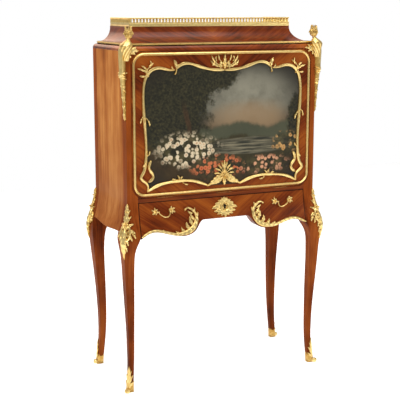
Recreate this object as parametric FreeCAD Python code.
import FreeCAD, Part
import math
import os

# A small fall-front writing cabinet on cabriole legs, with gilt mounts.
# Units are millimetres. X runs to the right, Y to the back and Z up from the floor.

os.makedirs("parts", exist_ok=True)
Vector = FreeCAD.Vector

# Body
BODY_WIDTH = 770.0
BODY_DEPTH = 360.0
BODY_SETBACK = 16.0
POST_SIZE = 41.0
SIDE_THICKNESS = 16.0
LINING_THICKNESS = 6.0
BACK_THICKNESS = 10.0
BACK_INSET = 4.0
BACK_BOTTOM_Z = 590.0
REAR_RAIL_HEIGHT = 46.0
REAR_RAIL_THICKNESS = 20.0
LINING_BOTTOM_Z = 612.0

# Swelling line of the front, the sides and the legs: height, then how far it stands out
KNEE_TOP_Z = 720.0
KNEE_LINE = ((0.0, 12.5), (50.0, 7.0), (110.0, 3.5), (150.0, 3.6), (230.0, 5.6), (320.0, 10.8), (440.0, 18.0),
             (530.0, 24.0), (575.0, 27.0), (605.0, 22.0), (640.0, 12.0), (671.0, 5.0), (700.0, 1.0))
# Inner edge of a front leg: height, then how far it lies inside the face of the body
SHANK_LINE = ((0.0, 9.0), (92.0, 15.5), (150.0, 17.5), (230.0, 18.0), (320.0, 18.0), (440.0, 16.5),
              (500.0, 17.0), (533.0, 19.5), (560.0, 28.0), (577.0, 36.5))
# A rear leg is stouter and splays to the side: its outer and inner edges in the front view, then in the side view
REAR_KNEE_LINE = ((0.0, 20.0), (50.0, 15.0), (110.0, 10.5), (172.0, 9.0), (269.0, 11.6), (365.0, 17.5), (462.0, 25.5),
                  (530.0, 30.0), (570.0, 30.0), (605.0, 23.0), (640.0, 12.5), (671.0, 5.0), (700.0, 1.0))
REAR_INNER_LINE = ((0.0, 1.0), (75.0, 9.5), (110.0, 13.0), (172.0, 17.0), (269.0, 18.5), (365.0, 17.0), (462.0, 15.0),
                   (510.0, 17.0), (533.0, 20.0), (560.0, 28.0), (577.0, 36.5))
REAR_BACK_LINE = ((0.0, -20.0), (50.0, -23.0), (110.0, -24.0), (172.0, -22.0), (269.0, -17.0), (365.0, -10.0),
                  (462.0, -1.5), (530.0, 7.0), (570.0, 10.5), (605.0, 9.0), (640.0, 5.0), (671.0, 2.0), (700.0, 0.4))
REAR_SHANK_LINE = ((0.0, 41.0), (75.0, 44.0), (172.0, 47.0), (269.0, 46.0), (365.0, 44.5), (462.0, 45.0),
                   (533.0, 44.0), (577.0, 42.0))
SHANK_TOP_Z = 596.0
SIDE_EDGE_Z = 602.0
SIDE_EDGE_WAVE = 4.0

# Drawer in the apron
DRAWER_TOP_Z = 711.5
DRAWER_GAP = 1.0
DRAWER_FRONT_THICKNESS = 20.0
DRAWER_BOX_BOTTOM_Z = 637.0
DRAWER_BOX_HEIGHT = 64.0
DRAWER_BACK_GAP = 36.0
DRAWER_WALL = 10.0
DRAWER_BOTTOM_THICKNESS = 6.0
DRAWER_SIDE_PLAY = 1.5
RUNNER_PLAY = 0.4
RUNNER_WIDTH = 20.0
RUNNER_HEIGHT = 11.0
# Lower edge of the apron from its middle outward: distance from the middle, then height
APRON_FLAT_Z = 632.0
APRON_FLAT_HALF = 86.0
APRON_EDGE = ((95.0, 630.5), (102.0, 625.5), (113.0, 611.0), (127.0, 595.0), (147.0, 584.0), (174.0, 579.5),
              (205.0, 583.0), (232.0, 590.0), (256.0, 597.0), (285.0, 602.0), (308.0, 599.0), (326.0, 591.5))
APRON_END_Z = 582.0

# Rail, fall front and its hinges
RAIL_HEIGHT = 14.0
FALL_GAP = 1.5
FALL_HEIGHT = 525.0
FALL_WIDTH = 728.0
FALL_CORNER = 48.0
FALL_THICKNESS = 25.0
FALL_REST_GAP = 0.3
EAR_START = 36.0
HINGE_SPREAD = 240.0
HINGE_LENGTH = 60.0
HINGE_KNUCKLE = 20.0
HINGE_BARREL_RADIUS = 3.0
HINGE_PIN_RADIUS = 1.5
HINGE_FIT = 0.05
HINGE_PLAY = 0.4
HINGE_LEAF = 1.5
HINGE_LEAF_REACH = 20.0

# Gilt moulding round the fall, painted field and scrolled frame
MOULDING_WIDTH = 10.0
MOULDING_RELIEF = 7.0
MOULDING_MARGIN = 4.0
MOULDING_FOOT_MARGIN = 5.5
PAINTING_THICKNESS = 1.5
FRAME_BAND = 9.0
FRAME_RELIEF = 7.0
LEAF_RELIEF = 9.0
LEATHER_THICKNESS = 1.2
LEATHER_SIDE = 64.0
LEATHER_HEAD = 61.0
LEATHER_FOOT = 44.0

# Quadrant stays of the fall
STAY_RADIUS = 200.0
STAY_WIDTH = 14.0
STAY_THICKNESS = 3.0
STAY_INSET = 31.0
STAY_PLAY = 1.0
STAY_STOP_GAP = 1.0
STAY_STOP_SPAN = 3.4
STAY_STOP_WIDTH = 26.0
STAY_FOOT_LENGTH = 60.0
STAY_FOOT_WIDTH = 12.0

# Locks
LOCK_WIDTH = 64.0
LOCK_HEIGHT = 46.0
LOCK_THICKNESS = 12.0
BOLT_WIDTH = 22.0
BOLT_THICKNESS = 6.0
BOLT_LENGTH = 30.0
BOLT_PLAY = 0.3
BOLT_SETBACK = 0.5
BOLT_THROW = 7.0
KEEP_WIDTH = 44.0
KEEP_DEPTH = 14.0
KEEP_THICKNESS = 3.0
KEYHOLE_RADIUS = 2.0
FALL_KEY_DROP = 30.0
DRAWER_KEY_DROP = 38.0

# Cabinet floor and the nest of shelves and small drawers
NEST_DEPTH = 200.0
NEST_BACK_GAP = 6.0
NEST_PLINTH = 25.5
NEST_BOARD = 8.0
NEST_DRAWER_BAY = 86.0
NEST_HOLE_HEIGHT = 190.0
NEST_BAY_WIDTH = 212.0
INNER_PLAY = 0.8
INNER_FRONT = 12.0
INNER_WALL = 7.0
INNER_BOTTOM = 5.0
INNER_BACK_GAP = 20.0
KNOB_RADIUS = 6.0
KNOB_LENGTH = 17.0

# Top board, coved cornice and gallery
TOP_BOARD_THICKNESS = 17.0
TOP_EDGE_INSET = 12.0
STRIP_HEIGHT = 8.5
STRIP_PROUD = 3.0
CORNICE_INSET = 15.0
COVE_HEIGHT = 54.0
COVE_SIDE = 42.0
COVE_FRONT = 94.0
COVE_BACK = 24.0
CORNICE_WALL = 14.0
CORNICE_TOP_THICKNESS = 6.0
GALLERY_HEIGHT = 32.0
GALLERY_BASE = 15.0
GALLERY_REBATE = 2.0
GALLERY_SEAT_PLAY = 0.5
GALLERY_RAIL = 4.0
GALLERY_PITCH = 8.6
GALLERY_HOLE = 5.2
GALLERY_PLATE = 3.0
GALLERY_BAR = 5.0
GALLERY_BACK_INSET = 3.0

# Handles
HANDLE_SPREAD = 247.0
HANDLE_Z = 676.0
HANDLE_HALF = 30.0
HANDLE_STAND = 16.0
BAIL_DROP = 22.0
BAIL_RADIUS = 2.4
BAIL_PIN_RADIUS = 1.6
BAIL_FIT = 0.08
ROSETTE_RADIUS = 12.0
ROSETTE_RELIEF = 5.0
POST_RADIUS = 4.2

# Gilt mounts on the wood
MOUNT_RELIEF = 6.0
SABOT_WALL = 3.5
SABOT_SOLE = 5.0
SABOT_COLLAR_Z = 38.0
TOE_RADIUS = 9.0
TOE_WIDTH = 18.0
TOE_REACH = 3.0
BUST_INSET = 12.0
BUST_FORWARD = 3.0
BUST_TOP_Z = 1338.0

# Places and angles that follow from the sizes
HALF_WIDTH = BODY_WIDTH / 2
FRONT_Y = BODY_SETBACK - BODY_DEPTH / 2
BACK_Y = BODY_SETBACK + BODY_DEPTH / 2
INNER_HALF = HALF_WIDTH - POST_SIZE
FRONT_POST_Y = FRONT_Y + POST_SIZE
REAR_POST_Y = BACK_Y - POST_SIZE
BACK_FACE_Y = BACK_Y - BACK_INSET - BACK_THICKNESS
RAIL_Z = DRAWER_TOP_Z + DRAWER_GAP
RAIL_TOP_Z = RAIL_Z + RAIL_HEIGHT
FALL_Z = RAIL_TOP_Z + FALL_GAP
FALL_TOP_Z = FALL_Z + FALL_HEIGHT
AXIS_Z = RAIL_TOP_Z + FALL_GAP / 2
STAY_STOP_RADIUS = STAY_RADIUS - STAY_STOP_WIDTH / 2
STAY_STOP_ANGLE = 90.0 + math.degrees(math.asin((POST_SIZE + STAY_STOP_GAP) / STAY_STOP_RADIUS))
STAY_TAIL_ANGLE = STAY_STOP_ANGLE + STAY_STOP_SPAN
TOP_BOARD_Z = FALL_TOP_Z + FALL_GAP
CORNICE_Z = TOP_BOARD_Z + TOP_BOARD_THICKNESS
COVE_Z = CORNICE_Z + STRIP_HEIGHT
NECK_Z = COVE_Z + COVE_HEIGHT
DECK_Z = NECK_Z + CORNICE_TOP_THICKNESS
CORNICE_HALF = HALF_WIDTH - CORNICE_INSET
NECK_HALF = CORNICE_HALF - COVE_SIDE
CORNICE_FRONT = FRONT_Y + CORNICE_INSET
CORNICE_BACK = BACK_Y - CORNICE_INSET
NECK_FRONT = CORNICE_FRONT + COVE_FRONT
NECK_BACK = CORNICE_BACK - COVE_BACK
BEYOND = 80.0

pieces = {}


def keep(node, *solids):
    """Set the solids of one named piece aside for writing."""
    shapes = []
    for solid in solids:
        shapes.extend(solid.Solids)
    pieces[node] = shapes[0] if len(shapes) == 1 else Part.makeCompound(shapes)


def block(x0, x1, y0, y1, z0, z1):
    """A box from its six faces."""
    return Part.makeBox(x1 - x0, y1 - y0, z1 - z0, Vector(x0, y0, z0))


def mirrored(shape):
    """The same shape on the other side of the object."""
    return shape.mirror(Vector(0, 0, 0), Vector(1, 0, 0))


def rod(start, end, radius):
    """A round bar between two points."""
    way = end - start
    return Part.makeCylinder(radius, way.Length, start, way)


def line(start, end):
    return Part.makeLine(start, end)


def curve(points, end_direction=None):
    """A smooth curve through the points, with a set direction at its end where one is given."""
    spline = Part.BSplineCurve()
    if end_direction is None:
        spline.interpolate(points)
    else:
        first = points[1] - points[0]
        spline.interpolate(Points=points, InitialTangent=first.normalize(), FinalTangent=end_direction)
    return spline.toShape()


def face(edges):
    """The flat face inside a ring of edges."""
    return Part.Face(Part.Wire(Part.__sortEdges__(edges)))


def across(x, z):
    """A point of a front view, in the plane Y = 0."""
    return Vector(x, 0, z)


def front_prism(flat, y0, y1):
    """A face drawn in the front view, given depth from y0 to y1."""
    moved = flat.translated(Vector(0, y0, 0))
    return moved.extrude(Vector(0, y1 - y0, 0))


def side_prism(flat, x0, x1):
    """A face drawn in the side view, given width from x0 to x1."""
    moved = flat.translated(Vector(x0, 0, 0))
    return moved.extrude(Vector(x1 - x0, 0, 0))


def side_place(out, z):
    """A point of the front view that stands out from the right side of the body."""
    return Vector(HALF_WIDTH + out, 0, z)


def front_place(out, z):
    """A point of the side view that stands out from the front of the body."""
    return Vector(0, FRONT_Y - out, z)


def rear_place(out, z):
    """A point of the side view that stands out from the back of the body."""
    return Vector(0, BACK_Y + out, z)


def swelling_edge(place, profile, grow=0.0):
    """The outer line of the legs and the apron, moved outward by grow."""
    points = [place(out + grow, z) for z, out in profile]
    points.append(place(grow, KNEE_TOP_Z))
    return curve(points, Vector(0, 0, 1))


def swelling_face(place, depth, top, grow=0.0):
    """The outline of a piece with the swelling line outside and a flat inside."""
    foot = KNEE_LINE[0]
    edges = [swelling_edge(place, KNEE_LINE, grow)]
    edges.append(line(place(grow, KNEE_TOP_Z), place(grow, top)))
    edges.append(line(place(grow, top), place(-depth, top)))
    edges.append(line(place(-depth, top), place(-depth, foot[0])))
    edges.append(line(place(-depth, foot[0]), place(foot[1] + grow, foot[0])))
    return face(edges)


def leg_face(place, outer, inner, grow=0.0):
    """One view of a leg with its post: swelling line outside, shank line inside."""
    foot_out = outer[0][1] + grow
    foot_in = -inner[0][1] - grow
    post_in = -POST_SIZE - grow
    shank = [place(-inset - grow, z) for z, inset in inner]
    shank.append(place(post_in, SHANK_TOP_Z))
    edges = [swelling_edge(place, outer, grow)]
    edges.append(line(place(grow, KNEE_TOP_Z), place(grow, TOP_BOARD_Z)))
    edges.append(line(place(grow, TOP_BOARD_Z), place(post_in, TOP_BOARD_Z)))
    edges.append(line(place(post_in, TOP_BOARD_Z), place(post_in, SHANK_TOP_Z)))
    edges.append(curve(shank, Vector(0, 0, 1)))
    edges.append(line(place(foot_in, 0), place(foot_out, 0)))
    return face(edges)


def leg_form(rear, grow=0.0):
    """A right leg with its post, cut to its line in the front view and in the side view."""
    if rear:
        front_view = leg_face(side_place, REAR_KNEE_LINE, REAR_INNER_LINE, grow)
        side_view = leg_face(rear_place, REAR_BACK_LINE, REAR_SHANK_LINE, grow)
    else:
        front_view = leg_face(side_place, KNEE_LINE, SHANK_LINE, grow)
        side_view = leg_face(front_place, KNEE_LINE, SHANK_LINE, grow)
    wide = front_prism(front_view, FRONT_Y - BEYOND, BACK_Y + BEYOND)
    return wide.common(side_prism(side_view, 0, HALF_WIDTH + BEYOND))


def rounded_face(half, bottom, top, radius):
    """A rectangle of the front view with round corners."""
    inner = half - radius
    low = bottom + radius
    high = top - radius
    slant = radius * math.sqrt(0.5)
    edges = [line(across(-inner, bottom), across(inner, bottom)), line(across(-inner, top), across(inner, top))]
    for side in (-1, 1):
        edges.append(line(across(side * half, low), across(side * half, high)))
        for level, way, edge in ((low, -1, bottom), (high, 1, top)):
            middle = across(side * (inner + slant), level + way * slant)
            edges.append(Part.Arc(across(side * inner, edge), middle, across(side * half, level)).toShape())
    return face(edges)


def leaf_face(base, tip, left, right):
    """A leaf of the front view between two arcs; left and right are how far each arc bows to its side."""
    start = across(*base)
    end = across(*tip)
    way = end - start
    side = Vector(-way.z, 0, way.x).normalize()
    middle = (start + end) * 0.5
    first = Part.Arc(start, middle + side * left, end).toShape()
    second = Part.Arc(start, middle - side * right, end).toShape()
    return face([first, second])


def leaves(shapes, y0, y1):
    """A cluster of leaves of one thickness, joined."""
    prisms = [front_prism(leaf_face(*shape), y0, y1) for shape in shapes]
    return prisms[0].multiFuse(prisms[1:]).removeSplitter()


def mirrored_leaves(shapes):
    """The leaves of the right half with their mirror images."""
    others = []
    for base, tip, left, right in shapes:
        others.append(((-base[0], base[1]), (-tip[0], tip[1]), right, left))
    return list(shapes) + others


def arc_chain(start, heading, stops):
    """Arcs that run on smoothly from a start point and heading through the stops."""
    edges = []
    point = Vector(start[0], 0, start[1])
    angle = math.radians(heading)
    for stop in stops:
        end = Vector(stop[0], 0, stop[1])
        chord = end - point
        chord_angle = math.atan2(chord.z, chord.x)
        turn = math.remainder(chord_angle - angle, 2 * math.pi)
        rise = math.tan(turn / 2) * chord.Length / 2
        side = Vector(chord.z, 0, -chord.x).normalize()
        middle = (point + end) * 0.5 + side * rise
        edges.append(Part.Arc(point, middle, end).toShape())
        angle = chord_angle + turn
        point = end
    return edges


def band(edges, heading):
    """A half-round bar that follows a chain of arcs on the face of the fall."""
    start = edges[0].valueAt(edges[0].FirstParameter)
    angle = math.radians(heading)
    side = Vector(-math.sin(angle), 0, math.cos(angle)) * (FRAME_BAND / 2)
    crown = Part.Arc(start - side, start + Vector(0, -FRAME_RELIEF, 0), start + side).toShape()
    section = Part.Face(Part.Wire([crown, line(start + side, start - side)]))
    bar = Part.Wire(edges).makePipe(section)
    return bar.translated(Vector(0, FRONT_Y, 0))


def stay_face(inner, outer, start, end):
    """A piece of a ring round the hinge axis in the side view; angles run from up towards the back."""
    def at(radius, degrees):
        angle = math.radians(degrees)
        return Vector(0, FRONT_Y + radius * math.sin(angle), AXIS_Z + radius * math.cos(angle))
    middle = (start + end) / 2
    edges = [Part.Arc(at(inner, start), at(inner, middle), at(inner, end)).toShape()]
    edges.append(line(at(inner, end), at(outer, end)))
    edges.append(Part.Arc(at(outer, end), at(outer, middle), at(outer, start)).toShape())
    edges.append(line(at(outer, start), at(inner, start)))
    return face(edges)


# Opening of the fall and the tools that are cut from the wood around it
fall_opening = front_prism(
    rounded_face(FALL_WIDTH / 2 + FALL_GAP, FALL_Z - FALL_GAP, FALL_TOP_Z + FALL_GAP, FALL_CORNER + FALL_GAP),
    FRONT_Y - BEYOND, FRONT_Y + FALL_THICKNESS + FALL_REST_GAP)
stay_x = HALF_WIDTH - STAY_INSET
stay_slot = side_prism(
    stay_face(STAY_RADIUS - STAY_WIDTH / 2 - STAY_PLAY, STAY_RADIUS + STAY_WIDTH / 2 + STAY_PLAY, 1.0, 20.0),
    stay_x - STAY_THICKNESS / 2 - STAY_PLAY, stay_x + STAY_THICKNESS / 2 + STAY_PLAY)
hinge_places = (-HINGE_SPREAD, 0.0, HINGE_SPREAD)
hinge_grooves = []
for place in hinge_places:
    start = Vector(place - HINGE_LENGTH / 2 - HINGE_PLAY, FRONT_Y, AXIS_Z)
    end = Vector(place + HINGE_LENGTH / 2 + HINGE_PLAY, FRONT_Y, AXIS_Z)
    hinge_grooves.append(rod(start, end, HINGE_BARREL_RADIUS + HINGE_PLAY))

# Legs
above_sole = block(-BEYOND, HALF_WIDTH + BEYOND, FRONT_Y - BEYOND, BACK_Y + BEYOND, SABOT_SOLE, TOP_BOARD_Z)
front_leg = leg_form(rear=False).common(above_sole).cut(fall_opening).cut(stay_slot)
rear_leg = leg_form(rear=True).common(above_sole)
keep("leg_front_right", front_leg)
keep("leg_front_left", mirrored(front_leg))
keep("leg_rear_right", rear_leg)
keep("leg_rear_left", mirrored(rear_leg))

# Side panels, with a waved lower edge between the legs
panel_length = REAR_POST_Y - FRONT_POST_Y
wave = []
for step in range(9):
    share = step / 8
    height = SIDE_EDGE_Z + SIDE_EDGE_WAVE * math.cos(2 * math.pi * share)
    wave.append(Vector(0, FRONT_POST_Y + share * panel_length, height))
side_outline = face([
    curve(wave),
    line(wave[0], Vector(0, FRONT_POST_Y, TOP_BOARD_Z)),
    line(Vector(0, FRONT_POST_Y, TOP_BOARD_Z), Vector(0, REAR_POST_Y, TOP_BOARD_Z)),
    line(Vector(0, REAR_POST_Y, TOP_BOARD_Z), wave[-1])])
side_panel = front_prism(swelling_face(side_place, SIDE_THICKNESS, TOP_BOARD_Z), FRONT_POST_Y, REAR_POST_Y)
side_panel = side_panel.common(side_prism(side_outline, 0, HALF_WIDTH + BEYOND))
keep("side_panel_right", side_panel)
keep("side_panel_left", mirrored(side_panel))

# Linings, back, rails, floor and runners
lining = block(INNER_HALF, INNER_HALF + LINING_THICKNESS, FRONT_POST_Y, REAR_POST_Y, LINING_BOTTOM_Z, TOP_BOARD_Z)
keep("cabinet_linings", lining, mirrored(lining))
back_split_z = BACK_BOTTOM_Z + REAR_RAIL_HEIGHT
keep("back_panel", block(-INNER_HALF, INNER_HALF, BACK_FACE_Y, BACK_Y - BACK_INSET, back_split_z, TOP_BOARD_Z))
keep("rear_rail", block(-INNER_HALF, INNER_HALF, BACK_Y - BACK_INSET - REAR_RAIL_THICKNESS, BACK_Y - BACK_INSET,
                        BACK_BOTTOM_Z, back_split_z))
ear_half = FALL_WIDTH / 2 - EAR_START
front_rail = block(-INNER_HALF, INNER_HALF, FRONT_Y, FRONT_POST_Y, RAIL_Z, RAIL_TOP_Z)
rail_y = FRONT_Y + FALL_THICKNESS + FALL_REST_GAP
ear = block(ear_half, INNER_HALF, FRONT_Y, rail_y, RAIL_TOP_Z, FALL_Z + FALL_CORNER).cut(fall_opening)
front_rail = front_rail.multiFuse([ear, mirrored(ear)]).removeSplitter()
top_rail = block(-INNER_HALF, INNER_HALF, rail_y, FRONT_POST_Y, FALL_TOP_Z - RAIL_HEIGHT, TOP_BOARD_Z)
top_ear = block(ear_half, INNER_HALF, FRONT_Y, FRONT_POST_Y, FALL_TOP_Z - FALL_CORNER, TOP_BOARD_Z).cut(fall_opening)
top_rail = top_rail.multiFuse([top_ear, mirrored(top_ear)]).removeSplitter()
keep("top_rail", top_rail)
keep("cabinet_floor", block(-INNER_HALF, INNER_HALF, FRONT_POST_Y, BACK_FACE_Y, RAIL_Z, RAIL_TOP_Z))
runner_top_z = DRAWER_BOX_BOTTOM_Z - RUNNER_PLAY
runner = block(INNER_HALF - RUNNER_WIDTH, INNER_HALF, FRONT_POST_Y, REAR_POST_Y,
               runner_top_z - RUNNER_HEIGHT, runner_top_z)
keep("drawer_runners", runner, mirrored(runner))

# Hinges of the fall: leaves let into the rail and into the fall, with three knuckles on one pin
fixed_hinges = []
moving_hinges = []
fixed_leaves = []
moving_leaves = []
for place in hinge_places:
    left = place - HINGE_LENGTH / 2
    right = place + HINGE_LENGTH / 2
    inner_left = place - HINGE_KNUCKLE / 2
    inner_right = place + HINGE_KNUCKLE / 2
    axis_left = Vector(left, FRONT_Y, AXIS_Z)
    axis_right = Vector(right, FRONT_Y, AXIS_Z)
    leaf_end = FRONT_Y + HINGE_LEAF_REACH
    low_leaf = block(left, right, FRONT_Y, leaf_end, RAIL_TOP_Z - HINGE_LEAF, RAIL_TOP_Z)
    high_leaf = block(left, right, FRONT_Y, leaf_end, FALL_Z, FALL_Z + HINGE_LEAF)
    barrel = rod(axis_left, axis_right, HINGE_BARREL_RADIUS)
    pin = rod(axis_left, axis_right, HINGE_PIN_RADIUS)
    bore = rod(axis_left, axis_right, HINGE_PIN_RADIUS + HINGE_FIT)
    room = HINGE_BARREL_RADIUS + HINGE_PLAY
    gap = block(inner_left - HINGE_PLAY, inner_right + HINGE_PLAY, FRONT_Y - room, FRONT_Y + room,
                AXIS_Z - room, AXIS_Z + room)
    knuckle = barrel.common(block(inner_left, inner_right, FRONT_Y - room, FRONT_Y + room,
                                  AXIS_Z - room, AXIS_Z + room))
    fixed_hinges.append(low_leaf.fuse(barrel).cut(gap).fuse(pin).removeSplitter())
    high_plate = high_leaf.cut(rod(axis_left, axis_right, room))
    tongue = block(inner_left, inner_right, FRONT_Y, FRONT_Y + room + HINGE_LEAF, FALL_Z, FALL_Z + HINGE_LEAF)
    moving_hinges.append(high_plate.multiFuse([tongue, knuckle]).cut(bore).removeSplitter())
    fixed_leaves.append(low_leaf)
    moving_leaves.append(high_leaf)
keep("fall_hinges_fixed", *fixed_hinges)
keep("fall_hinges_moving", *moving_hinges)


def lock_parts(back_y, top_z):
    """Case, bolt, mortise and bolt line of a lock that is flush with the back and the top edge of a board."""
    case_y = back_y - LOCK_THICKNESS
    bolt_y = case_y + (LOCK_THICKNESS - BOLT_THICKNESS) / 2
    case = block(-LOCK_WIDTH / 2, LOCK_WIDTH / 2, case_y, back_y, top_z - LOCK_HEIGHT, top_z)
    way = block(-BOLT_WIDTH / 2 - BOLT_PLAY, BOLT_WIDTH / 2 + BOLT_PLAY, bolt_y - BOLT_PLAY,
                bolt_y + BOLT_THICKNESS + BOLT_PLAY, top_z - BOLT_SETBACK - BOLT_LENGTH - BOLT_PLAY, top_z)
    bolt = block(-BOLT_WIDTH / 2, BOLT_WIDTH / 2, bolt_y, bolt_y + BOLT_THICKNESS,
                 top_z - BOLT_SETBACK - BOLT_LENGTH, top_z - BOLT_SETBACK)
    return case.cut(way), bolt, case, bolt_y + BOLT_THICKNESS / 2


def keep_parts(middle_y, z):
    """Keep plate above a bolt and the room for the thrown bolt behind the plate."""
    reach = BOLT_THROW + 2 * BOLT_PLAY
    plate = block(-KEEP_WIDTH / 2, KEEP_WIDTH / 2, middle_y - KEEP_DEPTH / 2, middle_y + KEEP_DEPTH / 2,
                  z, z + KEEP_THICKNESS)
    half = BOLT_THICKNESS / 2 + BOLT_PLAY
    room = block(-BOLT_WIDTH / 2 - BOLT_PLAY, BOLT_WIDTH / 2 + BOLT_PLAY, middle_y - half, middle_y + half,
                 z, z + reach)
    return plate.cut(room), plate, room


# Locks and their keeps
fall_back_y = FRONT_Y + FALL_THICKNESS
drawer_back_y = FRONT_Y + DRAWER_FRONT_THICKNESS
fall_lock, fall_bolt, fall_mortise, fall_bolt_y = lock_parts(fall_back_y, FALL_TOP_Z)
drawer_lock, drawer_bolt, drawer_mortise, drawer_bolt_y = lock_parts(drawer_back_y, DRAWER_TOP_Z)
fall_keep, fall_keep_seat, fall_keep_room = keep_parts(fall_bolt_y, TOP_BOARD_Z)
drawer_keep, drawer_keep_seat, drawer_keep_room = keep_parts(drawer_bolt_y, RAIL_Z)
keep("fall_lock", fall_lock)
keep("fall_lock_bolt", fall_bolt)
keep("drawer_lock", drawer_lock)
keep("drawer_lock_bolt", drawer_bolt)
keep("lock_keeps", fall_keep, drawer_keep)
keep("front_rail", front_rail.cut(Part.makeCompound(hinge_grooves + fixed_leaves))
     .cut(drawer_keep_seat).cut(drawer_keep_room))

# Top board with a rounded edge
edge_width = TOP_EDGE_INSET
top_front = face([
    line(Vector(0, FRONT_Y, TOP_BOARD_Z), Vector(0, BACK_Y, TOP_BOARD_Z)),
    line(Vector(0, BACK_Y, TOP_BOARD_Z), Vector(0, BACK_Y, CORNICE_Z)),
    line(Vector(0, BACK_Y, CORNICE_Z), Vector(0, FRONT_Y + edge_width, CORNICE_Z)),
    Part.Arc(Vector(0, FRONT_Y + edge_width, CORNICE_Z),
             Vector(0, FRONT_Y + edge_width * 0.3, TOP_BOARD_Z + TOP_BOARD_THICKNESS * 0.7),
             Vector(0, FRONT_Y, TOP_BOARD_Z + TOP_BOARD_THICKNESS * 0.15)).toShape(),
    line(Vector(0, FRONT_Y, TOP_BOARD_Z + TOP_BOARD_THICKNESS * 0.15), Vector(0, FRONT_Y, TOP_BOARD_Z))])
top_edges = [line(across(-HALF_WIDTH, TOP_BOARD_Z), across(HALF_WIDTH, TOP_BOARD_Z)),
             line(across(-HALF_WIDTH + edge_width, CORNICE_Z), across(HALF_WIDTH - edge_width, CORNICE_Z))]
for side in (-1, 1):
    low = across(side * HALF_WIDTH, TOP_BOARD_Z + TOP_BOARD_THICKNESS * 0.15)
    middle = across(side * (HALF_WIDTH - edge_width * 0.3), TOP_BOARD_Z + TOP_BOARD_THICKNESS * 0.7)
    high = across(side * (HALF_WIDTH - edge_width), CORNICE_Z)
    top_edges.append(line(across(side * HALF_WIDTH, TOP_BOARD_Z), low))
    top_edges.append(Part.Arc(low, middle, high).toShape())
top_board = side_prism(top_front, -HALF_WIDTH, HALF_WIDTH)
top_board = top_board.common(front_prism(face(top_edges), FRONT_Y, BACK_Y))
keep("top_board", top_board.cut(fall_keep_seat).cut(fall_keep_room))


def cove_edge(place, reach):
    """The hollow quarter-ellipse of the cornice, from its foot up to its neck."""
    points = []
    for step in range(9):
        angle = math.pi / 2 * step / 8
        points.append(place(-reach * math.sin(angle), NECK_Z - COVE_HEIGHT * math.cos(angle)))
    return curve(points), points[0], points[-1]


# Coved cornice round the top, a board with a rebate for the gallery on it, and a gilt strip at its foot
cove_sides = []
for side in (-1, 1):
    edge, foot = cove_edge(lambda out, z: across(side * (CORNICE_HALF + out), z), COVE_SIDE)[:2]
    cove_sides.extend([edge, line(across(side * CORNICE_HALF, CORNICE_Z), foot)])
cove_sides.append(line(across(-CORNICE_HALF, CORNICE_Z), across(CORNICE_HALF, CORNICE_Z)))
cove_sides.append(line(across(-NECK_HALF, NECK_Z), across(NECK_HALF, NECK_Z)))
front_edge, front_foot, front_neck = cove_edge(lambda out, z: Vector(0, CORNICE_FRONT - out, z), COVE_FRONT)
back_edge, back_foot, back_neck = cove_edge(lambda out, z: Vector(0, CORNICE_BACK + out, z), COVE_BACK)
cove_depth = face([
    front_edge, back_edge,
    line(front_neck, back_neck),
    line(front_foot, Vector(0, CORNICE_FRONT, CORNICE_Z)),
    line(back_foot, Vector(0, CORNICE_BACK, CORNICE_Z)),
    line(Vector(0, CORNICE_FRONT, CORNICE_Z), Vector(0, CORNICE_BACK, CORNICE_Z))])
cornice = front_prism(face(cove_sides), CORNICE_FRONT - BEYOND, CORNICE_BACK + BEYOND)
cornice = cornice.common(side_prism(cove_depth, -HALF_WIDTH, HALF_WIDTH))
hollow = block(CORNICE_WALL - NECK_HALF, NECK_HALF - CORNICE_WALL, NECK_FRONT + CORNICE_WALL,
               NECK_BACK - CORNICE_WALL, CORNICE_Z, NECK_Z)
keep("cornice", cornice.cut(hollow))
seat_width = GALLERY_BAR + GALLERY_SEAT_PLAY
seat_z = DECK_Z - GALLERY_REBATE
deck = block(-NECK_HALF, NECK_HALF, NECK_FRONT, NECK_BACK, NECK_Z, seat_z)
deck = deck.fuse(block(seat_width - NECK_HALF, NECK_HALF - seat_width, NECK_FRONT + seat_width, NECK_BACK,
                       seat_z, DECK_Z))
keep("cornice_top", deck.removeSplitter())
strip = block(-CORNICE_HALF - STRIP_PROUD, CORNICE_HALF + STRIP_PROUD, CORNICE_FRONT - STRIP_PROUD,
              CORNICE_BACK + STRIP_PROUD, CORNICE_Z, COVE_Z)
strip_inside = block(-CORNICE_HALF, CORNICE_HALF, CORNICE_FRONT, CORNICE_BACK, CORNICE_Z, COVE_Z)
keep("cornice_moulding", strip.cut(strip_inside))


def gallery_strip(length):
    """A pierced strip along X that stands on Z = 0: foot band, upright bars between round-headed holes, top rail."""
    top = GALLERY_HEIGHT - GALLERY_RAIL
    radius = GALLERY_HOLE / 2
    count = int((length - GALLERY_PITCH) / GALLERY_PITCH)
    outer = Part.makePolygon([across(0, 0), across(length, 0), across(length, GALLERY_HEIGHT),
                              across(0, GALLERY_HEIGHT), across(0, 0)])
    rings = [outer]
    for index in range(count):
        middle = length / 2 + (index - (count - 1) / 2) * GALLERY_PITCH
        left = middle - radius
        right = middle + radius
        rings.append(Part.Wire([
            line(across(left, GALLERY_BASE), across(right, GALLERY_BASE)),
            line(across(right, GALLERY_BASE), across(right, top - radius)),
            Part.Arc(across(right, top - radius), across(middle, top), across(left, top - radius)).toShape(),
            line(across(left, top - radius), across(left, GALLERY_BASE))]))
    plate = front_prism(Part.Face(rings, "Part::FaceMakerBullseye"), -GALLERY_PLATE / 2, GALLERY_PLATE / 2)
    foot = block(0, length, -GALLERY_BAR / 2, GALLERY_BAR / 2, 0, GALLERY_BASE)
    rail = block(0, length, -GALLERY_BAR / 2, GALLERY_BAR / 2, top, GALLERY_HEIGHT)
    return plate.multiFuse([foot, rail]).removeSplitter()


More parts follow.
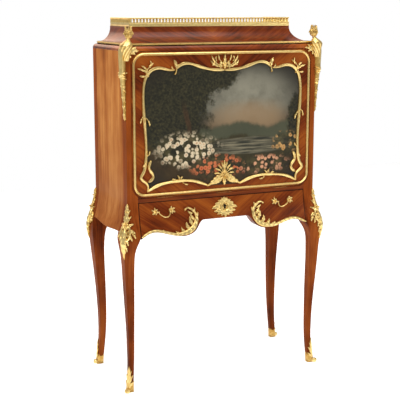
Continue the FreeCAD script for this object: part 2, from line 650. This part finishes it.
# Gallery on three sides of the top
gallery_half = NECK_HALF
gallery_front = gallery_strip(2 * gallery_half)
gallery_front.translate(Vector(-gallery_half, NECK_FRONT + GALLERY_BAR / 2, seat_z))
keep("gallery_front", gallery_front)
gallery_side = gallery_strip(NECK_BACK - GALLERY_BACK_INSET - NECK_FRONT - GALLERY_BAR)
gallery_side.rotate(Vector(0, 0, 0), Vector(0, 0, 1), 90)
gallery_side.translate(Vector(gallery_half - GALLERY_BAR / 2, NECK_FRONT + GALLERY_BAR, seat_z))
keep("gallery_sides", gallery_side, mirrored(gallery_side))

# Nest of shelves, pigeonholes and two small drawers, raised to the level of the opened fall
nest_end_y = BACK_FACE_Y - NEST_BACK_GAP
nest_y = nest_end_y - NEST_DEPTH
nest_z = RAIL_TOP_Z + NEST_PLINTH
drawer_shelf_z = nest_z + NEST_DRAWER_BAY
upper_shelf_z = drawer_shelf_z + NEST_BOARD + NEST_HOLE_HEIGHT
nest_inner = INNER_HALF - NEST_BOARD
keep("nest_shelves",
     block(-nest_inner, nest_inner, nest_y, nest_end_y, nest_z - NEST_BOARD, nest_z),
     block(-nest_inner, nest_inner, nest_y, nest_end_y, drawer_shelf_z, drawer_shelf_z + NEST_BOARD),
     block(-nest_inner, nest_inner, nest_y, nest_end_y, upper_shelf_z, upper_shelf_z + NEST_BOARD))
uprights = [block(-nest_inner, nest_inner, nest_y, nest_y + NEST_BOARD, RAIL_TOP_Z, nest_z - NEST_BOARD)]
nest_side = block(nest_inner, INNER_HALF, nest_y, nest_end_y, RAIL_TOP_Z, upper_shelf_z + NEST_BOARD)
bay_wall_x = nest_inner - NEST_BAY_WIDTH
bay_wall = block(bay_wall_x - NEST_BOARD, bay_wall_x, nest_y, nest_end_y, nest_z, drawer_shelf_z)
hole_wall = block(bay_wall_x - NEST_BOARD, bay_wall_x, nest_y, nest_end_y, drawer_shelf_z + NEST_BOARD, upper_shelf_z)
for upright in (nest_side, bay_wall, hole_wall):
    uprights.extend([upright, mirrored(upright)])
keep("nest_uprights", *uprights)

# Small drawers of the nest, each of five boards
tray_left = bay_wall_x + INNER_PLAY
tray_right = nest_inner - INNER_PLAY
tray_low = nest_z + INNER_PLAY
tray_high = drawer_shelf_z - INNER_PLAY
tray_y = nest_y + INNER_FRONT
tray_end_y = nest_end_y - INNER_BACK_GAP
inside_left = tray_left + INNER_WALL
inside_right = tray_right - INNER_WALL
tray = [
    block(tray_left, tray_right, nest_y, tray_y, tray_low, tray_high),
    block(tray_left, inside_left, tray_y, tray_end_y, tray_low, tray_high),
    block(inside_right, tray_right, tray_y, tray_end_y, tray_low, tray_high),
    block(inside_left, inside_right, tray_end_y - INNER_WALL, tray_end_y, tray_low, tray_high),
    block(inside_left, inside_right, tray_y, tray_end_y - INNER_WALL, tray_low, tray_low + INNER_BOTTOM)]
knob_point = Vector((tray_left + tray_right) / 2, nest_y, (tray_low + tray_high) / 2)
knob_ball = knob_point + Vector(0, KNOB_RADIUS - KNOB_LENGTH, 0)
knob = rod(knob_point, knob_ball, KNOB_RADIUS / 2).fuse(Part.makeSphere(KNOB_RADIUS, knob_ball)).removeSplitter()
keep("inner_drawer_right", *tray)
keep("inner_drawer_left", *[mirrored(board) for board in tray])
keep("inner_knob_right", knob)
keep("inner_knob_left", mirrored(knob))

# Scrolled frame of the painted field: start, heading in degrees and stops of each scroll of the right half
TOP_SCROLL = ((0.0, 1182.0), 0.0, ((70.0, 1188.0), (120.0, 1203.0), (147.0, 1209.0), (180.0, 1201.0),
                                   (194.0, 1188.0)))
SIDE_SCROLL = ((198.0, 1186.0), 0.0, ((225.0, 1188.0), (250.0, 1194.0), (285.0, 1189.0), (304.0, 1172.0),
                                     (317.0, 1136.0), (320.0, 1088.0), (317.0, 1016.0), (311.0, 944.0),
                                     (309.0, 890.0), (311.0, 848.0)))
FLICK_STOP = (327.0, 803.0)
LOOP_SCROLL = ((306.0, 848.0), -143.0, ((282.0, 812.0), (290.0, 792.0), (306.0, 787.0)))
FOOT_SCROLL = ((306.0, 787.0), -107.0, ((303.0, 771.0), (309.0, 752.0)))
BASE_SCROLL = ((309.0, 752.0), 139.0, ((276.0, 764.0), (228.0, 776.0), (160.0, 780.0), (114.0, 774.0),
                                       (60.0, 756.0)))
field_edges = []
last = None
for start, heading, stops in (TOP_SCROLL, SIDE_SCROLL, LOOP_SCROLL, FOOT_SCROLL, BASE_SCROLL):
    if last is not None and last != start:
        field_edges.append(line(across(*last), across(*start)))
    field_edges.extend(arc_chain(start, heading, stops))
    last = stops[-1]
field_edges.append(line(across(*last), across(0, last[1])))
field = face(field_edges + [mirrored(edge) for edge in field_edges])
painting = front_prism(field, FRONT_Y, FRONT_Y + PAINTING_THICKNESS)
keep("painted_panel", painting)
long_side = (SIDE_SCROLL[0], SIDE_SCROLL[1], SIDE_SCROLL[2] + (FLICK_STOP,))
bars = []
for start, heading, stops in (TOP_SCROLL, long_side, LOOP_SCROLL, FOOT_SCROLL, BASE_SCROLL):
    bars.append(band(arc_chain(start, heading, stops), heading))
right_frame = bars[0].multiFuse(bars[1:])
keep("picture_frame", right_frame, mirrored(right_frame))

frame_bars = right_frame.fuse(mirrored(right_frame))

# Fall front with its gilt moulding, leather, lock mortise and stays
fall_panel = front_prism(rounded_face(FALL_WIDTH / 2, FALL_Z, FALL_TOP_Z, FALL_CORNER), FRONT_Y, fall_back_y)
leather_half = FALL_WIDTH / 2 - LEATHER_SIDE
leather = block(-leather_half, leather_half, fall_back_y - LEATHER_THICKNESS, fall_back_y,
                FALL_Z + LEATHER_FOOT, FALL_TOP_Z - LEATHER_HEAD)
keep("writing_leather", leather)
stay_low = stay_x - STAY_THICKNESS / 2
stay_high = stay_x + STAY_THICKNESS / 2
stay = side_prism(stay_face(STAY_RADIUS - STAY_WIDTH / 2, STAY_RADIUS + STAY_WIDTH / 2, 2.0, STAY_TAIL_ANGLE),
                  stay_low, stay_high)
stay_stop = side_prism(stay_face(STAY_STOP_RADIUS, STAY_STOP_RADIUS + STAY_STOP_WIDTH,
                                 STAY_STOP_ANGLE, STAY_TAIL_ANGLE), stay_low, stay_high)
stay = stay.cut(block(0, HALF_WIDTH, FRONT_Y - BEYOND, fall_back_y, AXIS_Z, FALL_TOP_Z))
stay_foot = block(stay_x - STAY_FOOT_WIDTH / 2, stay_x + STAY_FOOT_WIDTH / 2,
                  fall_back_y - STAY_THICKNESS, fall_back_y,
                  AXIS_Z + STAY_RADIUS - STAY_FOOT_LENGTH / 2, AXIS_Z + STAY_RADIUS + STAY_FOOT_LENGTH / 2)
stay = stay.multiFuse([stay_stop, stay_foot]).removeSplitter()
keep("quadrant_stays", stay, mirrored(stay))
fall_key_z = FALL_TOP_Z - FALL_KEY_DROP
fall_keyhole = rod(Vector(0, FRONT_Y - BEYOND, fall_key_z), Vector(0, fall_back_y - LOCK_THICKNESS, fall_key_z),
                   KEYHOLE_RADIUS)
fall_cuts = [painting, leather, fall_mortise, fall_keyhole, stay_foot, mirrored(stay_foot)]
for tool in fall_cuts + hinge_grooves + moving_leaves:
    fall_panel = fall_panel.cut(tool)
keep("fall_panel", fall_panel)
moulding_half = FALL_WIDTH / 2 - MOULDING_MARGIN
moulding_low = FALL_Z + MOULDING_FOOT_MARGIN
moulding_high = FALL_TOP_Z - MOULDING_MARGIN
moulding_corner = FALL_CORNER - MOULDING_MARGIN
moulding = front_prism(rounded_face(moulding_half, moulding_low, moulding_high, moulding_corner),
                       FRONT_Y - MOULDING_RELIEF, FRONT_Y)
moulding = moulding.cut(front_prism(
    rounded_face(moulding_half - MOULDING_WIDTH, moulding_low + MOULDING_WIDTH, moulding_high - MOULDING_WIDTH,
                 moulding_corner - MOULDING_WIDTH), FRONT_Y - BEYOND, FRONT_Y))
crown_edges = []
for edge in moulding.Edges:
    if edge.BoundBox.YMax < FRONT_Y - MOULDING_RELIEF / 2:
        crown_edges.append(edge)
keep("fall_moulding", moulding.makeFillet(MOULDING_WIDTH * 0.35, crown_edges))

# Leaf clusters of the frame: base, tip and how far each side of the leaf bows out
CREST_STEM = ((0.0, 1186.0), (0.0, 1237.0), 9.0, 9.0)
CREST_LEAVES = (((2.0, 1188.0), (29.0, 1234.0), 5.0, 8.0), ((3.0, 1188.0), (49.0, 1222.0), 5.0, 8.0),
                ((3.0, 1186.0), (57.0, 1202.0), 5.0, 7.0), ((6.0, 1184.0), (40.0, 1176.0), 4.0, 4.0))
SHELL_STEM = ((0.0, 757.0), (0.0, 845.0), 11.0, 11.0)
SHELL_LEAVES = (((2.0, 762.0), (20.0, 838.0), 6.0, 9.0), ((3.0, 762.0), (35.0, 819.0), 6.0, 9.0),
                ((4.0, 761.0), (44.0, 796.0), 6.0, 9.0), ((4.0, 764.0), (60.0, 770.0), 7.0, 5.0),
                ((4.0, 760.0), (64.0, 751.0), 4.0, 6.0))
CORNER_LEAVES = (((298.0, 1166.0), (340.0, 1192.0), 6.0, 6.0), ((300.0, 1170.0), (327.0, 1214.0), 6.0, 6.0),
                 ((302.0, 1168.0), (303.0, 1217.0), 6.0, 6.0), ((304.0, 1174.0), (342.0, 1164.0), 5.0, 6.0))
CUSP_LEAVES = (((196.0, 1174.0), (198.0, 1221.0), 7.0, 7.0), ((197.0, 1186.0), (219.0, 1208.0), 4.0, 5.0))
SIDE_LEAF = ((315.0, 1034.0), (312.0, 968.0), 6.0, 6.0)
LOOP_LEAF = ((309.0, 838.0), (289.0, 867.0), 5.0, 6.0)
BASE_LEAVES = (((182.0, 777.0), (142.0, 795.0), 6.0, 6.0), ((160.0, 776.0), (136.0, 768.0), 4.0, 4.0))
leaf_y = FRONT_Y - LEAF_RELIEF
crest = leaves([CREST_STEM] + mirrored_leaves(CREST_LEAVES), leaf_y, FRONT_Y)
keep("frame_crest", crest.cut(frame_bars).cut(fall_keyhole))
keep("frame_shell", leaves([SHELL_STEM] + mirrored_leaves(SHELL_LEAVES), leaf_y, FRONT_Y).cut(frame_bars))
sprays = []
for cluster in (CORNER_LEAVES, CUSP_LEAVES, (SIDE_LEAF,), (LOOP_LEAF,), BASE_LEAVES):
    spray = leaves(cluster, leaf_y, FRONT_Y).cut(right_frame)
    sprays.extend([spray, mirrored(spray)])
keep("frame_sprays", *sprays)

# Apron drawer: shaped front and a plain box behind it
drawer_half = INNER_HALF - DRAWER_GAP
apron_lines = [line(across(-APRON_FLAT_HALF, APRON_FLAT_Z), across(APRON_FLAT_HALF, APRON_FLAT_Z)),
               line(across(-drawer_half, DRAWER_TOP_Z), across(drawer_half, DRAWER_TOP_Z))]
lobe = [across(APRON_FLAT_HALF, APRON_FLAT_Z)]
for x, z in APRON_EDGE:
    lobe.append(across(x, z))
lobe.append(across(drawer_half, APRON_END_Z))
apron_half = [curve(lobe), line(lobe[-1], across(drawer_half, DRAWER_TOP_Z))]
apron_lines.extend(apron_half + [mirrored(edge) for edge in apron_half])
apron_outline = front_prism(face(apron_lines), FRONT_Y - BEYOND, FRONT_Y + BEYOND)


def apron_form(grow):
    """The shaped apron, with its outside moved outward by grow."""
    section = swelling_face(front_place, DRAWER_FRONT_THICKNESS, KNEE_TOP_Z + grow + 1.0, grow)
    return side_prism(section, -drawer_half, drawer_half).common(apron_outline)


apron = apron_form(0.0)
drawer_key_z = DRAWER_TOP_Z - DRAWER_KEY_DROP
drawer_keyhole = rod(Vector(0, FRONT_Y - BEYOND, drawer_key_z),
                     Vector(0, drawer_back_y - LOCK_THICKNESS, drawer_key_z), KEYHOLE_RADIUS)
keep("drawer_front", apron.cut(drawer_mortise).cut(drawer_keyhole))
box_half = INNER_HALF - DRAWER_SIDE_PLAY
box_end = BACK_FACE_Y - DRAWER_BACK_GAP
box_top = DRAWER_BOX_BOTTOM_Z + DRAWER_BOX_HEIGHT
drawer_side = block(box_half - DRAWER_WALL, box_half, drawer_back_y, box_end, DRAWER_BOX_BOTTOM_Z, box_top)
keep("drawer_sides", drawer_side, mirrored(drawer_side))
wall_half = box_half - DRAWER_WALL
keep("drawer_back", block(-wall_half, wall_half, box_end - DRAWER_WALL, box_end, DRAWER_BOX_BOTTOM_Z, box_top))
keep("drawer_bottom", block(-wall_half, wall_half, drawer_back_y, box_end - DRAWER_WALL,
                            DRAWER_BOX_BOTTOM_Z, DRAWER_BOX_BOTTOM_Z + DRAWER_BOTTOM_THICKNESS))

# Mounts of the apron, seated on its swelling face
SCROLL_LEAVES = (((172.0, 583.0), (158.0, 678.0), 53.0, -34.0), ((126.0, 650.0), (153.0, 655.0), 5.0, 5.0),
                 ((119.0, 625.0), (146.0, 632.0), 5.0, 5.0), ((126.0, 600.0), (152.0, 606.0), 5.0, 5.0))
SCROLL_TAIL = ((166.0, 590.0), (205.0, 592.0), (232.0, 599.0), (256.0, 606.0), (285.0, 611.0), (308.0, 608.0),
               (326.0, 600.5))
SCROLL_TAIL_END_Z = 591.0
ESCUTCHEON_STEM = ((0.0, 637.0), (0.0, 704.0), 17.0, 17.0)
ESCUTCHEON_LEAVES = (((6.0, 668.0), (51.0, 691.0), 8.0, 5.0), ((6.0, 670.0), (50.0, 650.0), 5.0, 8.0),
                     ((4.0, 686.0), (31.0, 704.0), 5.0, 6.0), ((4.0, 656.0), (30.0, 638.0), 6.0, 5.0))
skin = apron_form(MOUNT_RELIEF).cut(apron)
tail_points = [across(x, z) for x, z in SCROLL_TAIL]
tail_points.append(across(drawer_half, SCROLL_TAIL_END_Z))
tail_low = APRON_END_Z - BEYOND
tail = front_prism(face([
    curve(tail_points),
    line(tail_points[-1], across(drawer_half, tail_low)),
    line(across(drawer_half, tail_low), across(SCROLL_TAIL[0][0], tail_low)),
    line(across(SCROLL_TAIL[0][0], tail_low), tail_points[0])]), FRONT_Y - BEYOND, FRONT_Y)
scroll = leaves(SCROLL_LEAVES, FRONT_Y - BEYOND, FRONT_Y).fuse(tail).common(skin)
keep("apron_scrolls", scroll, mirrored(scroll))
escutcheon = leaves([ESCUTCHEON_STEM] + mirrored_leaves(ESCUTCHEON_LEAVES), FRONT_Y - BEYOND, FRONT_Y)
keep("escutcheon", escutcheon.common(skin).cut(drawer_keyhole))

# Bail handles: a rosette and a post at each end, with the bail's pins in the posts
rosettes = []
bails = {}
pivot_y = FRONT_Y - HANDLE_STAND
rosette_skin = apron_form(ROSETTE_RELIEF)
for name, middle in (("left", -HANDLE_SPREAD), ("right", HANDLE_SPREAD)):
    for side in (-1, 1):
        seat = Vector(middle + side * HANDLE_HALF, FRONT_Y, HANDLE_Z)
        disc = rod(seat + Vector(0, -BEYOND, 0), seat, ROSETTE_RADIUS).common(rosette_skin)
        post = rod(seat + Vector(0, -HANDLE_STAND - POST_RADIUS, 0), seat, POST_RADIUS)
        bore = rod(Vector(seat.x - POST_RADIUS, pivot_y, HANDLE_Z), Vector(seat.x + POST_RADIUS, pivot_y, HANDLE_Z),
                   BAIL_PIN_RADIUS + BAIL_FIT)
        rosettes.append(disc.fuse(post).cut(bore).cut(apron).removeSplitter())
    arm = HANDLE_HALF - POST_RADIUS - BAIL_RADIUS - 1.5
    left = Vector(middle - arm, pivot_y, HANDLE_Z)
    right = Vector(middle + arm, pivot_y, HANDLE_Z)
    bow = Part.Wire([Part.Arc(left, Vector(middle, pivot_y, HANDLE_Z - BAIL_DROP), right).toShape()])
    tangent = bow.Edges[0].tangentAt(bow.Edges[0].FirstParameter)
    section = Part.Face(Part.Wire([Part.makeCircle(BAIL_RADIUS, left, tangent)]))
    bar = bow.makePipe(section)
    pin_reach = HANDLE_HALF + POST_RADIUS - 1.0
    joints = [Part.makeSphere(BAIL_RADIUS, left), Part.makeSphere(BAIL_RADIUS, right),
              rod(left, Vector(middle - pin_reach, pivot_y, HANDLE_Z), BAIL_PIN_RADIUS),
              rod(right, Vector(middle + pin_reach, pivot_y, HANDLE_Z), BAIL_PIN_RADIUS)]
    bails[name] = bar.multiFuse(joints).removeSplitter()
keep("handle_rosettes", *rosettes)
keep("bail_left", bails["left"])
keep("bail_right", bails["right"])

# Knee mounts: half outline from the top down, distance from the corner and height
KNEE_MOUNT = ((0.0, 710.0), (5.5, 701.0), (4.5, 692.0), (10.0, 682.0), (8.0, 670.0), (16.0, 654.0), (25.0, 628.0),
              (31.0, 602.0), (28.0, 585.0), (19.0, 571.0), (15.0, 556.0), (9.0, 538.0), (4.0, 524.0), (0.0, 516.0))
SABOT_LEAF = ((0.0, 92.0), (4.0, 84.0), (10.0, 66.0), (12.0, 48.0), (13.0, 30.0))


def half_outline(points, place):
    """A closed outline from the curve of one half and its mirror image."""
    right = [place(across_by, z) for across_by, z in points]
    left = [place(-across_by, z) for across_by, z in points]
    edges = [curve(right), curve(left)]
    if points[-1][0] > 0:
        edges.append(line(right[-1], left[-1]))
    return face(edges)


def at_corner(shape, corner_x, corner_y, degrees):
    """A shape drawn round the Z axis with its front to -Y, set on a corner and turned outward."""
    shape = shape.copy()
    shape.rotate(Vector(0, 0, 0), Vector(0, 0, 1), degrees)
    shape.translate(Vector(corner_x, corner_y, 0))
    return shape


knee_prism = front_prism(half_outline(KNEE_MOUNT, across), -BEYOND, POST_SIZE * 0.3)
front_knee = at_corner(knee_prism, HALF_WIDTH, FRONT_Y, 45).common(leg_form(False, MOUNT_RELIEF)).cut(front_leg)
rear_outline = half_outline(KNEE_MOUNT, lambda v, z: Vector(0, BACK_Y - v * math.sqrt(2), z))
rear_knee = side_prism(rear_outline, HALF_WIDTH - POST_SIZE * 0.3, HALF_WIDTH + BEYOND)
rear_knee = rear_knee.common(leg_form(True, MOUNT_RELIEF)).cut(rear_leg).cut(side_panel)
keep("knee_mount_front_right", front_knee)
keep("knee_mount_front_left", mirrored(front_knee))
keep("knee_mount_rear_right", rear_knee)
keep("knee_mount_rear_left", mirrored(rear_knee))


def sabot(leg, rear):
    """A gilt shoe round the foot: sole and collar, a leaf up the corner and a rolled toe."""
    shell = leg_form(rear, SABOT_WALL)
    if rear:
        corner_x = HALF_WIDTH + REAR_KNEE_LINE[0][1]
        corner_y = BACK_Y + REAR_BACK_LINE[0][1]
        turn = 135
    else:
        corner_x = HALF_WIDTH + KNEE_LINE[0][1]
        corner_y = FRONT_Y - KNEE_LINE[0][1]
        turn = 45
    collar = shell.common(block(0, HALF_WIDTH + BEYOND, FRONT_Y - BEYOND, BACK_Y + BEYOND, 0, SABOT_COLLAR_Z))
    leaf = front_prism(half_outline(SABOT_LEAF, across), -BEYOND, POST_SIZE * 0.6)
    leaf = at_corner(leaf, corner_x, corner_y, turn).common(shell)
    toe_end = Vector(TOE_WIDTH / 2, -TOE_REACH, TOE_RADIUS)
    toe = rod(toe_end - Vector(TOE_WIDTH, 0, 0), toe_end, TOE_RADIUS)
    toe = at_corner(toe, corner_x, corner_y, turn)
    return collar.multiFuse([leaf, toe]).cut(leg).removeSplitter()


front_sabot = sabot(front_leg, False)
rear_sabot = sabot(rear_leg, True)
keep("sabot_front_right", front_sabot)
keep("sabot_front_left", mirrored(front_sabot))
keep("sabot_rear_right", rear_sabot)
keep("sabot_rear_left", mirrored(rear_sabot))

# Corner busts: a tapering drop on the corner, shoulders and head above it, and two leaves
BUST_DROP = ((1012.0, 3.0, 5.0), (1030.0, 6.0, 9.0), (1075.0, 7.0, 12.0), (1127.0, 8.5, 15.0),
             (1160.0, 12.0, 21.0), (1178.0, 11.0, 20.0), (1200.0, 12.0, 21.0), (1240.0, 14.5, 21.0),
             (1262.0, 16.0, 20.0), (1272.0, 15.0, 16.0))
BUST_PROFILE = ((1262.0, 15.0), (1270.0, 21.0), (1276.0, 22.0), (1283.0, 17.0), (1288.0, 9.5), (1295.0, 7.5),
                (1301.0, 10.0), (1311.0, 12.0), (1322.0, 13.0), (1331.0, 11.0), (1336.0, 5.0))
BUST_LEAF = ((383.0, 1265.0), (337.0, 1243.0), 9.0, 9.0)
rings = []
for z, half, depth in BUST_DROP:
    points = []
    for step in range(12):
        angle = 2 * math.pi * step / 12
        points.append(Vector(half * math.cos(angle), depth * math.sin(angle), z))
    ring = Part.BSplineCurve()
    ring.interpolate(Points=points, PeriodicFlag=True)
    rings.append(Part.Wire([ring.toShape()]))
drop = at_corner(Part.makeLoft(rings, True), HALF_WIDTH, FRONT_Y, 45)
profile = [Vector(radius, 0, z) for z, radius in BUST_PROFILE]
profile.append(Vector(0, 0, BUST_TOP_Z))
bust_low = Vector(0, 0, BUST_PROFILE[0][0])
bust_face = face([curve(profile), line(profile[-1], bust_low), line(bust_low, profile[0])])
bust = bust_face.revolve(Vector(0, 0, 0), Vector(0, 0, 1), 360)
bust.translate(Vector(HALF_WIDTH - BUST_INSET, FRONT_Y - BUST_FORWARD, 0))
front_wing = front_prism(leaf_face(*BUST_LEAF), FRONT_Y - MOUNT_RELIEF, FRONT_Y)
side_wing = front_wing.mirror(Vector(HALF_WIDTH, FRONT_Y, 0), Vector(1, 1, 0))
bust = drop.multiFuse([bust, front_wing.cut(fall_opening), side_wing])
for wood in ("leg_front_right", "side_panel_right", "top_board", "cornice_moulding", "cornice"):
    bust = bust.cut(pieces[wood])
keep("bust_right", bust)
keep("bust_left", mirrored(bust))

for node, shape in pieces.items():
    shape.exportStep("parts/" + node + ".step")
    print(node, len(shape.Solids), shape.isValid(), round(shape.Volume / 1000, 1))
